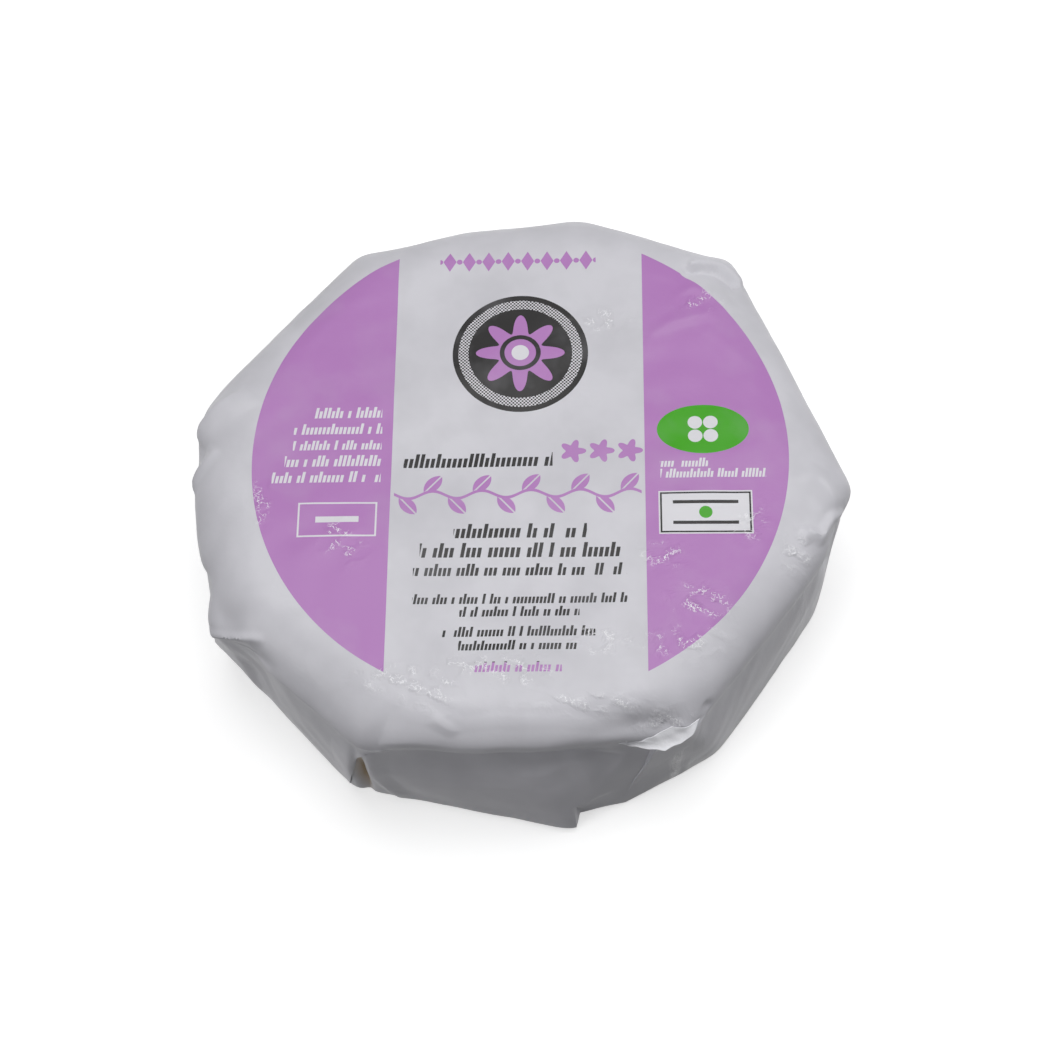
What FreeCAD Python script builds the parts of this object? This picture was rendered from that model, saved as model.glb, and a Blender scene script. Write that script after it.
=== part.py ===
"""Camembert: a soft round cheese shut in its folded wrapping paper.

The pack is one closed solid, because nothing of the cheese shows. It is worked out as rings of
points round the wheel's axis. Each ring follows the paper, which is pulled flat from pleat to
pleat, lies on the wheel between them, rounds over at the shoulder and turns in at the foot.
Lengths are in millimetres and angles in degrees. The label's upper edge looks along +Y.
"""

import FreeCAD, Part

import math
import os
from collections import namedtuple

# Overall form
HEIGHT = 30.0              # from the surface it rests on to the flat top
WHEEL_RADIUS = 49.6        # the cheese with its paper, away from the pleats
SHOULDER_REACH = 8.5       # from the wall in to the edge of the flat top
SHOULDER_DROP = 6.5        # from the flat top down to the shoulder's lower edge
FOOT_RADIUS = 1.6          # where the wall turns in under the cheese
REST_RING_WIDTH = 13.0     # the flat ring that it stands on, from the foot inwards
WALL_BULGE = 0.5           # how far the soft wall swells at mid height
LIP_DEPTH = 0.8            # how far the wall draws in just below the shoulder
LIP_HEIGHT = 3.0           # how far down the wall that hollow reaches
PLEAT_SOFTNESS = 0.8       # how rounded the paper is over a pleat's edge
SHOULDER_PLEAT_SHARE = 0.55   # how much of a pleat's stand-out reaches the flat top's edge

# Folded paper under the cheese
FOLD_STEP = 0.5            # each fold lies this much over the next
FOLD_SWIRL = 34.0          # how far the folds' edges sweep round on the way to the middle

# Fineness of the rings
ANGLE_STEPS = 132
SHOULDER_STEPS = 6
WALL_STEPS = 8
FOOT_STEPS = 3
UNDERSIDE_STEPS = 4

# A pleat's edge leans: it has a bearing and a stand-out from the wheel at the shoulder,
# and others at the foot.
Pleat = namedtuple("Pleat", "shoulder_bearing shoulder_stand foot_bearing foot_stand")
PLEATS = [
    Pleat(77.7, 3.2, 80.0, 2.8),       # rounded corner at the back
    Pleat(48.1, 7.1, 45.0, 5.0),       # turned-down corner, back right
    Pleat(-3.3, 7.3, -6.0, 3.8),       # right-hand ear
    Pleat(-18.5, 4.5, -16.7, 4.2),     # swelling below the ear
    Pleat(-59.2, 5.6, -51.0, 3.9),     # lapped corner, front right
    Pleat(-87.0, 0.4, -80.5, 6.2),     # end of the lap under the front
    Pleat(-117.0, 5.8, -121.0, 5.4),   # open corner, front left
    Pleat(-151.2, 8.5, -157.1, 6.3),   # left-hand ear
    Pleat(-178.0, 5.5, -178.0, 4.8),   # slack paper between the two left-hand corners
    Pleat(166.5, 6.9, 163.0, 5.4),     # pinched corner, left
    Pleat(122.7, 3.5, 120.0, 3.6),     # corner at the back, left
]

# A dent is a soft hollow pressed into the wall: its bearing, its level from 0 at the shoulder
# to 1 at the foot, its depth, half its width round the wall and half its height.
Dent = namedtuple("Dent", "bearing level depth half_width half_height")
DENTS = [
    Dent(-114.2, 0.52, 2.6, 2.6, 9.0),     # mouth of the open corner
    Dent(-144.0, 0.34, 1.6, 4.5, 6.0),     # hollow below the left-hand ear
    Dent(-158.5, 0.11, 2.2, 3.5, 6.0),     # hollow behind it
    Dent(173.5, 0.30, 1.2, 5.0, 5.5),      # pinch, left
    Dent(-10.5, 0.25, 2.0, 3.0, 5.5),      # notch below the right-hand ear
    Dent(54.5, 0.09, 1.6, 5.0, 4.0),       # turned-down corner's fold
    Dent(-74.0, 1.00, 2.2, 4.0, 3.0),      # beside the end of the lap
]


def turned(bearing, length):
    """A point in plan at a bearing and a length from the wheel's axis."""
    return (length * math.cos(math.radians(bearing)), length * math.sin(math.radians(bearing)))


def pleat_edge(pleat, level):
    """Where a pleat's edge stands in plan; level runs from 0 at the shoulder to 1 at the foot."""
    bearing = pleat.shoulder_bearing + (pleat.foot_bearing - pleat.shoulder_bearing) * level
    stand = pleat.shoulder_stand + (pleat.foot_stand - pleat.shoulder_stand) * level
    return turned(bearing, WHEEL_RADIUS + stand)


def paper_panels(level):
    """The flat panels from pleat to pleat at a level, each as its facing and its distance."""
    edges = [pleat_edge(pleat, level) for pleat in PLEATS]
    panels = []
    for (x1, y1), (x2, y2) in zip(edges, edges[1:] + edges[:1]):
        length = math.hypot(x2 - x1, y2 - y1)
        facing = math.atan2(x2 - x1, y1 - y2)
        distance = (x2 * y1 - x1 * y2) / length
        panels.append((facing, distance))
    return panels


def soft_least(values, softness):
    """The least of several values, rounded over where two of them are nearly equal."""
    least = min(values)
    total = sum(math.exp((least - value) / softness) for value in values)
    return least - softness * math.log(total)


def outline(bearing, level):
    """How far the paper stands from the axis: out to the panels, but never inside the wheel."""
    angle = math.radians(bearing)
    reaches = []
    for facing, distance in paper_panels(level):
        towards = math.cos(angle - facing)
        if towards > 0.3:
            reaches.append(distance / towards)
    panels = soft_least(reaches, PLEAT_SOFTNESS)
    return -soft_least([-panels, -WHEEL_RADIUS], PLEAT_SOFTNESS)


def wall_height(level):
    """The height of a level of the wall, from the shoulder's lower edge to the foot."""
    top = HEIGHT - SHOULDER_DROP
    return top + (FOOT_RADIUS - top) * level


def dented(bearing, height, reach):
    """The outline's reach at a height, less what the dents press in."""
    for dent in DENTS:
        round_wall = (bearing - dent.bearing + 180.0) % 360.0 - 180.0
        aside = math.radians(round_wall) * WHEEL_RADIUS / dent.half_width
        above = (height - wall_height(dent.level)) / dent.half_height
        reach -= dent.depth * math.exp(-(aside * aside + above * above))
    return reach


def shoulder_ring(bearing, turn):
    """A point of the shoulder's elliptical arc; turn is 0 at the flat top and 90 at the wall."""
    wall = outline(bearing, 0.0)
    kept = SHOULDER_PLEAT_SHARE * (wall - WHEEL_RADIUS)
    edge = WHEEL_RADIUS + kept - SHOULDER_REACH
    reach = edge + (wall - edge) * math.sin(math.radians(turn))
    height = HEIGHT - SHOULDER_DROP * (1.0 - math.cos(math.radians(turn)))
    return dented(bearing, height, reach), height


def wall_ring(bearing, level):
    """A point of the wall, which draws in below the shoulder and swells at mid height."""
    height = wall_height(level)
    swell = WALL_BULGE * math.sin(math.pi * level)
    fall = (wall_height(0.0) - height) / LIP_HEIGHT
    lip = LIP_DEPTH * fall * math.exp(1.0 - fall)
    return dented(bearing, height, outline(bearing, level) + swell - lip), height


def foot_ring(bearing, turn):
    """A point of the foot's arc; turn is 0 at the wall and 90 on the surface below."""
    wall, height = wall_ring(bearing, 1.0)
    reach = wall - FOOT_RADIUS * (1.0 - math.cos(math.radians(turn)))
    return reach, height - FOOT_RADIUS * math.sin(math.radians(turn))


def underside_ring(bearing, inward):
    """A point of the gathered folds; inward runs from 0 at the rest ring to 1 near the middle."""
    outer = foot_ring(bearing, 90.0)[0] - REST_RING_WIDTH
    spread = 360.0 / len(PLEATS)
    swept = (bearing + FOLD_SWIRL * inward) / spread
    lap = swept - math.floor(swept)
    return outer * (1.0 - inward), FOLD_STEP * min(1.0, 2.0 * inward) * (0.4 + 0.6 * lap)


def ring(section, station):
    """One closed ring of points, which a section function gives bearing by bearing."""
    points = []
    for step in range(ANGLE_STEPS):
        bearing = 360.0 * step / ANGLE_STEPS
        reach, height = section(bearing, station)
        x, y = turned(bearing, reach)
        points.append(FreeCAD.Vector(x, y, height))
    return points


def band(upper, lower):
    """The triangles between two rings, facing away from the cheese."""
    faces = []
    for here, (a, b) in enumerate(zip(upper, lower)):
        following = (here + 1) % len(upper)
        c = upper[following]
        d = lower[following]
        faces.append(Part.Face(Part.makePolygon([a, b, c, a])))
        faces.append(Part.Face(Part.makePolygon([c, b, d, c])))
    return faces


def closed_wire(points):
    """A wire through a ring's points and back to the first."""
    return Part.makePolygon(points + points[:1])


def centred(rings):
    """The same rings, moved in plan so that the axis stands in the middle of their extent."""
    points = [point for one in rings for point in one]
    middle_x = (min(p.x for p in points) + max(p.x for p in points)) / 2.0
    middle_y = (min(p.y for p in points) + max(p.y for p in points)) / 2.0
    shift = FreeCAD.Vector(-middle_x, -middle_y, 0.0)
    return [[point.add(shift) for point in one] for one in rings]


def stations(count, last=1.0):
    """Even stations along a stretch of the section, without its first."""
    return [last * (step + 1) / count for step in range(count)]


def wrapped_cheese():
    """The whole pack: flat top, shoulder, wall, foot, rest ring and gathered underside."""
    rings = [ring(shoulder_ring, 0.0)]
    rings += [ring(shoulder_ring, turn) for turn in stations(SHOULDER_STEPS, 90.0)]
    rings += [ring(wall_ring, level) for level in stations(WALL_STEPS)]
    rings += [ring(foot_ring, turn) for turn in stations(FOOT_STEPS, 90.0)]
    sides = len(rings)
    rings += [ring(underside_ring, 0.0)]
    rings += [ring(underside_ring, step / (UNDERSIDE_STEPS + 0.5)) for step in
              range(1, UNDERSIDE_STEPS + 1)]
    rings = centred(rings)

    faces = [Part.Face(closed_wire(rings[0]))]
    for upper, lower in zip(rings[: sides - 1], rings[1:sides]):
        faces += band(upper, lower)
    rest_ring = [closed_wire(rings[sides - 1]), closed_wire(rings[sides])]
    faces.append(Part.makeFace(rest_ring, "Part::FaceMakerBullseye"))
    for upper, lower in zip(rings[sides:-1], rings[sides + 1:]):
        faces += band(upper, lower)

    last = rings[-1]
    middle = sum(last, FreeCAD.Vector()) * (1.0 / len(last))
    for here, point in enumerate(last):
        following = last[(here + 1) % len(last)]
        faces.append(Part.Face(Part.makePolygon([point, middle, following, point])))

    shell = Part.makeShell(faces)
    shell.sewShape()
    solid = Part.Solid(shell)
    if solid.Volume < 0:
        solid.reverse()
    return solid


os.makedirs("parts", exist_ok=True)
pack = wrapped_cheese()
pack.exportStep("parts/wrapped_cheese.step")
size = pack.BoundBox
print("wrapped_cheese", "valid", pack.isValid(), "closed", pack.isClosed())
print("size %.2f x %.2f x %.2f mm" % (size.XLength, size.YLength, size.ZLength))
print("lowest %.3f, volume %.1f cm3" % (size.ZMin, pack.Volume / 1000.0))
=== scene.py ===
"""A wrapped camembert: the looks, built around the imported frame.

Lengths are in millimetres, turned to metres where a mesh, lamp or camera is made, and angles are in
degrees. A place on the paper is given by its bearing about the wheel's axis, from +X towards +Y, and
by how far down the paper it lies from the edge of the flat top. The label's upper edge looks along +Y.
"""

import logging
import math
from dataclasses import dataclass, field
from enum import Enum
from functools import partial
from typing import Callable

import bpy
import numpy as np
from mathutils import Matrix, Vector


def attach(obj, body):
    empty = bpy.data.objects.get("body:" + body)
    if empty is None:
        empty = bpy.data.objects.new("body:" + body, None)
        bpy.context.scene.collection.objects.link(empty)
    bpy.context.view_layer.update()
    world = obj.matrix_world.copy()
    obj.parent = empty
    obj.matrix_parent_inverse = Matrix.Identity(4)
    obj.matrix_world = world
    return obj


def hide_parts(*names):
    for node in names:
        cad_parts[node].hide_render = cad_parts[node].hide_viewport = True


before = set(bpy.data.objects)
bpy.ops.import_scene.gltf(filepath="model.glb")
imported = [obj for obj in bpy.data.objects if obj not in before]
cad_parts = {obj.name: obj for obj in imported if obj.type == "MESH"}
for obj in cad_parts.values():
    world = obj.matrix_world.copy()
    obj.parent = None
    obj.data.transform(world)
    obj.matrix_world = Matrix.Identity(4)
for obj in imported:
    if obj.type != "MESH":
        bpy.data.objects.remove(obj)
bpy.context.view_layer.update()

LOG = logging.getLogger("camembert")
MM = 0.001
BODY = "root"
CAD_NODE = "wrapped_cheese"
MATH = "ShaderNodeMath"
VECTOR = "ShaderNodeVectorMath"
MIX = "ShaderNodeMix"
RANGE = "ShaderNodeMapRange"
NOISE = "ShaderNodeTexNoise"
SEED = 7
SHARP_ANGLE = 42.0
MAP_MARGIN = 0.001

Array = np.ndarray


# ---------------------------------------------------------------- small tools

def linear(hex_colour: str) -> tuple[float, float, float, float]:
    """Turns an sRGB hex colour into linear red, green, blue and alpha.

    Args:
        hex_colour: six hex digits after a hash sign.
    Returns:
        The colour as a shader takes it.
    """
    srgb = np.array([int(hex_colour[i:i + 2], 16) / 255.0 for i in (1, 3, 5)])
    light = np.where(srgb <= 0.04045, srgb / 12.92, ((srgb + 0.055) / 1.055) ** 2.4)
    return (float(light[0]), float(light[1]), float(light[2]), 1.0)


def add_node(tree: bpy.types.NodeTree, kind: str, inputs: dict | tuple = (), **settings) -> bpy.types.Node:
    """Adds one node, with its settings and its inputs.

    Args:
        tree: the node tree it goes in.
        kind: the node's type.
        inputs: for each input's name or number, a value, a socket, or a node whose first output it
            takes; a tuple gives them in the inputs' own order.
        settings: the node's own properties.
    Returns:
        The new node.
    """
    node = tree.nodes.new(kind)
    for name, value in settings.items():
        setattr(node, name, value)
    given = inputs.items() if isinstance(inputs, dict) else enumerate(inputs)
    for key, value in given:
        if isinstance(value, bpy.types.Node):
            value = value.outputs[0]
        if isinstance(value, bpy.types.NodeSocket):
            tree.links.new(value, node.inputs[key])
        else:
            node.inputs[key].default_value = value
    return node


def ripples(x: Array, y: Array, wavelength: float, waves: int, seed: int) -> Array:
    """An uneven, gentle swell: the mean of plane waves that run in random directions.

    Each wave's length is drawn between 0.7 and 1.4 times the one asked for, and the sum is scaled
    so that it mostly stays between -1 and 1.

    Args:
        x: first coordinate in millimetres.
        y: second coordinate in millimetres.
        wavelength: the middle wavelength in millimetres.
        waves: how many waves are added.
        seed: what the random draw starts from.
    Returns:
        The swell's height at each point.
    """
    draw = np.random.default_rng(seed)
    total = np.zeros_like(x)
    for heading, share, phase in zip(draw.uniform(0, 2 * np.pi, waves), draw.uniform(0.7, 1.4, waves),
                                     draw.uniform(0, 2 * np.pi, waves)):
        turns = 2 * np.pi / (wavelength * share)
        total += np.sin(turns * (x * np.cos(heading) + y * np.sin(heading)) + phase)
    return total / math.sqrt(waves)


@dataclass(frozen=True)
class Swell:
    """One layer of a swell: its height, wavelength, number of waves and seed."""

    height: float
    wavelength: float
    waves: int
    seed: int

    def lift(self, x: Array, y: Array) -> Array:
        """Its height at each point."""
        return self.height * ripples(x, y, self.wavelength, self.waves, self.seed)


def smooth_step(value: Array, low: float, high: float) -> Array:
    """Runs from 0 at low to 1 at high, level at both ends."""
    share = np.clip((value - low) / (high - low), 0.0, 1.0)
    return share * share * (3.0 - 2.0 * share)


def soft_least(values: Array, softness: float) -> Array:
    """The least along the first axis, rounded over where two values are nearly equal."""
    least = values.min(axis=0)
    return least - softness * np.log(np.exp((least - values) / softness).sum(axis=0))


def make_piece(name: str, points: Array, quads: Array, triangles: Array, material: bpy.types.Material
               ) -> bpy.types.Object:
    """Makes one mesh piece, which rides on the pack's body and stands for the CAD solid.

    Args:
        name: the piece's name.
        points: vertices in millimetres, one row each.
        quads: four vertex numbers a row.
        triangles: three vertex numbers a row, or none.
        material: its finish.
    Returns:
        The object, at the origin.
    """
    mesh = bpy.data.meshes.new(name)
    corners = np.concatenate([quads.ravel(), triangles.ravel()]).astype(np.int32)
    sizes = np.concatenate([np.full(len(quads), 4), np.full(len(triangles), 3)]).astype(np.int32)
    mesh.vertices.add(len(points))
    mesh.vertices.foreach_set("co", (points * MM).astype(np.float32).ravel())
    mesh.loops.add(len(corners))
    mesh.loops.foreach_set("vertex_index", corners)
    mesh.polygons.add(len(sizes))
    mesh.polygons.foreach_set("loop_start", np.concatenate([[0], np.cumsum(sizes)[:-1]]).astype(np.int32))
    mesh.polygons.foreach_set("use_smooth", np.ones(len(sizes), bool))
    mesh.update(calc_edges=True)
    mesh.validate()
    mesh.set_sharp_from_angle(angle=math.radians(SHARP_ANGLE))
    mesh.materials.append(material)
    piece = bpy.data.objects.new(name, mesh)
    bpy.context.scene.collection.objects.link(piece)
    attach(piece, BODY)
    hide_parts(CAD_NODE)
    return piece


def set_attribute(piece: bpy.types.Object, name: str, values: Array) -> None:
    """Stores one number a vertex, which the paper's material reads by name."""
    made = piece.data.attributes.new(name, "FLOAT", "POINT")
    made.data.foreach_set("value", values.astype(np.float32))


def set_bake_map(piece: bpy.types.Object, plan: Array) -> None:
    """Stores the piece's UV map, given as one place in the unit square for each face corner."""
    made = piece.data.uv_layers.new(name="OFBake")
    made.data.foreach_set("uv", np.clip(plan, MAP_MARGIN, 1.0 - MAP_MARGIN).astype(np.float32).ravel())


def corner_vertices(piece: bpy.types.Object) -> Array:
    """The vertex number of every face corner."""
    numbers = np.zeros(len(piece.data.loops), np.int32)
    piece.data.loops.foreach_get("vertex_index", numbers)
    return numbers


# ---------------------------------------------------------------- the form of the pack

@dataclass(frozen=True)
class Pleat:
    """A pleat's leaning edge: its bearing and its stand-out from the wheel, at shoulder and foot."""

    shoulder_bearing: float
    shoulder_stand: float
    foot_bearing: float
    foot_stand: float


PLEATS = (
    Pleat(77.7, 3.2, 80.0, 2.8),
    Pleat(48.1, 7.1, 45.0, 5.0),
    Pleat(-3.3, 7.3, -6.0, 3.8),
    Pleat(-18.5, 4.5, -16.7, 4.2),
    Pleat(-59.2, 5.6, -51.0, 3.9),
    Pleat(-87.0, 0.4, -80.5, 6.2),
    Pleat(-117.0, 5.8, -121.0, 5.4),
    Pleat(-151.2, 8.5, -157.1, 6.3),
    Pleat(-178.0, 5.5, -178.0, 4.8),
    Pleat(166.5, 6.9, 163.0, 5.4),
    Pleat(122.7, 3.5, 120.0, 3.6),
)


def around(bearing: Array | float, middle: float) -> Array | float:
    """How far a bearing lies from a middle one, between -180 and 180 degrees."""
    return (bearing - middle + 180.0) % 360.0 - 180.0


@dataclass(frozen=True)
class Hollow:
    """A soft hollow pressed into the paper, or a swelling where its depth is below 0.

    Its depth fades as a bell, exp of minus the squared distance over its half sizes.
    """

    bearing: float
    down: float
    depth: float
    half_width: float
    half_height: float
    lean: float = 0.0

    def sink(self, bearing: Array, down: Array, reach: float) -> Array:
        """How far it sinks the paper at each place, with reach the wheel's radius."""
        aside = np.radians(around(bearing, self.bearing)) * reach
        below = down - self.down
        turn = math.radians(self.lean)
        across = aside * math.cos(turn) + below * math.sin(turn)
        along = below * math.cos(turn) - aside * math.sin(turn)
        return self.depth * np.exp(-((across / self.half_width) ** 2 + (along / self.half_height) ** 2))


@dataclass(frozen=True)
class Crease:
    """A folded line in the paper that stands up as a ridge, or sinks as a valley.

    Its height falls off straight to each side, as a tent, over the widths on its left and right as
    one walks along its points. It fades towards both ends. It moves the paper along the paper's own
    outward direction, or straight up.
    """

    points: tuple[tuple[float, float], ...]
    height: float
    left: float
    right: float
    fade: float = 0.25
    upward: bool = False

    def rise(self, bearing: Array, down: Array, reach: float) -> Array:
        """How far it lifts the paper at each place, with reach the wheel's radius."""
        origin = self.points[0][0]
        across = np.radians(around(bearing, origin)) * reach
        line = np.array([(math.radians(around(b, origin)) * reach, d) for b, d in self.points])
        steps = np.diff(line, axis=0)
        lengths = np.hypot(steps[:, 0], steps[:, 1])
        starts = np.concatenate([[0.0], np.cumsum(lengths)[:-1]])
        whole = lengths.sum()
        nearest = np.full(across.shape, np.inf)
        side = np.zeros_like(across)
        run = np.zeros_like(across)
        for (x, y), (sx, sy), length, start in zip(line[:-1], steps, lengths, starts):
            share = np.clip(((across - x) * sx + (down - y) * sy) / length ** 2, 0.0, 1.0)
            dx, dy = across - x - share * sx, down - y - share * sy
            distance = np.hypot(dx, dy)
            closer = distance < nearest
            nearest = np.where(closer, distance, nearest)
            side = np.where(closer, sx * dy - sy * dx, side)
            run = np.where(closer, (start + share * length) / whole, run)
        width = np.where(side < 0.0, self.left, self.right)
        ends = np.clip(np.minimum(run, 1.0 - run) / self.fade, 0.0, 1.0)
        return self.height * np.clip(1.0 - nearest / width, 0.0, 1.0) * np.sqrt(ends)


HOLLOWS = (
    Hollow(-118.2, 25.5, 2.3, 0.8, 7.5),  # the open corner's mouth
    Hollow(-144.0, 19.2, 1.6, 4.5, 6.0),  # below the left-hand ear
    Hollow(166.5, 9.5, 0.9, 4.0, 2.2, 35.0),  # the pinched corner, left
    Hollow(-158.5, 14.2, 2.2, 3.5, 6.0),  # behind the left-hand ear
    Hollow(173.5, 18.4, 1.2, 5.0, 5.5),  # below the pinched corner
    Hollow(-10.5, 17.3, 2.0, 3.0, 5.5),  # below the right-hand ear
    Hollow(54.5, 13.8, 1.6, 5.0, 4.0),  # below the turned-down corner
    Hollow(-150.5, 7.0, 0.9, 2.6, 2.6),  # over the left-hand ear
    Hollow(-143.5, 11.0, 1.4, 4.0, 2.4, -20.0),  # before the left-hand ear
    Hollow(176.0, 8.5, 0.9, 2.2, 3.0),  # beside the pinched corner
    Hollow(-64.5, 7.8, 1.4, 6.5, 2.8),  # over the folded tip
    Hollow(-92.0, 4.0, -0.5, 20.0, 2.8),  # the front shoulder, swollen
    Hollow(-133.0, 8.5, 1.3, 13.0, 5.5),  # the shoulder left of the open corner
)

CREASES = (
    # Front: the shoulder's crisp lower edge, and the wall drawn in below it.
    Crease(((-113.5, 10.2), (-105.0, 10.8), (-99.7, 12.0), (-92.3, 10.8), (-81.3, 11.3),
            (-74.0, 13.2), (-71.0, 14.6)), 0.35, 4.5, 1.3),
    Crease(((-113.5, 9.8), (-105.0, 10.4), (-99.7, 11.4), (-92.3, 10.4), (-81.3, 10.9),
            (-74.0, 12.2), (-69.0, 13.0)), 1.5, 7.0, 1.4, 0.12, upward=True),
    Crease(((-113.0, 12.0), (-105.0, 12.6), (-99.7, 13.8), (-92.3, 12.6), (-81.3, 13.1),
            (-74.0, 15.4), (-70.0, 17.6)), -0.9, 1.4, 10.0),
    # The small fold above the lapped corner.
    Crease(((-54.2, 8.8), (-53.3, 10.8)), -0.4, 1.0, 1.2),
    # Left-hand ear.
    Crease(((-152.0, 14.0), (-149.0, 11.0), (-146.7, 9.0), (-143.9, 6.6), (-142.0, 5.8)), 1.0, 1.3,
           1.2),
    # Open corner, front left: the small facet beside its mouth.
    Crease(((-116.2, 14.5), (-115.6, 24.0), (-112.0, 35.0)), 0.6, 2.6, 1.0, 0.2),
    # The recess beside the lap's lower end.
    Crease(((-79.6, 28.5), (-79.0, 34.0), (-79.0, 45.0)), -2.3, 7.5, 0.5, 0.35),
    # Pinched corner, left.
    Crease(((162.5, 3.0), (164.1, 3.8), (168.6, 6.5), (172.5, 10.0)), 0.95, 3.6, 1.3, 0.2),
    Crease(((176.0, 5.0), (179.0, 7.5), (182.5, 11.0)), 0.8, 1.6, 2.4),
    # Right-hand ear.
    Crease(((-17.5, 5.4), (-15.4, 5.0), (-15.1, 7.2), (-10.6, 8.0), (-8.0, 10.5)), 0.7, 1.3, 1.6,
           0.15),
    Crease(((-3.0, 2.0), (-4.6, 3.8), (-8.8, 8.5)), 0.5, 2.6, 2.6),
    # Turned-down corner, back right, and the creases that run from it into the label.
    Crease(((52.6, 3.4), (49.4, 4.9), (45.6, 7.2), (42.5, 8.6)), 0.7, 3.5, 0.9, 0.1),
    Crease(((52.6, 2.4), (49.0, 3.8), (45.0, 5.8), (42.6, 7.2)), -1.2, 0.8, 2.4, 0.12),
    Crease(((49.5, -1.6), (47.8, 0.6), (43.0, 2.6), (38.0, 4.0)), 0.32, 1.2, 1.6),
    Crease(((47.0, -11.0), (44.0, -5.0), (38.5, 3.2)), 0.28, 2.0, 2.0),
    # Behind: the paper gathered below each pleat.
    *(Crease(((p.shoulder_bearing, 13.0), (p.shoulder_bearing + turn, low)), 0.4, 1.8, 2.6, 0.3)
      for p in PLEATS if not -130.0 < p.shoulder_bearing < 40.0
      for turn, low in ((6.5, 31.0), (-5.0, 29.0), (11.0, 24.0))),
    # Front shoulder and wall: faint creases where the paper was pulled.
    Crease(((-106.0, 4.6), (-103.8, 5.5), (-100.1, 7.2)), 0.3, 1.2, 1.6),
    Crease(((-79.0, 14.0), (-77.8, 16.5), (-75.4, 28.2)), 0.35, 3.0, 2.5),
    Crease(((-89.0, 19.4), (-84.5, 18.7), (-77.8, 16.5)), 0.3, 1.8, 3.2),
)


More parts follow.
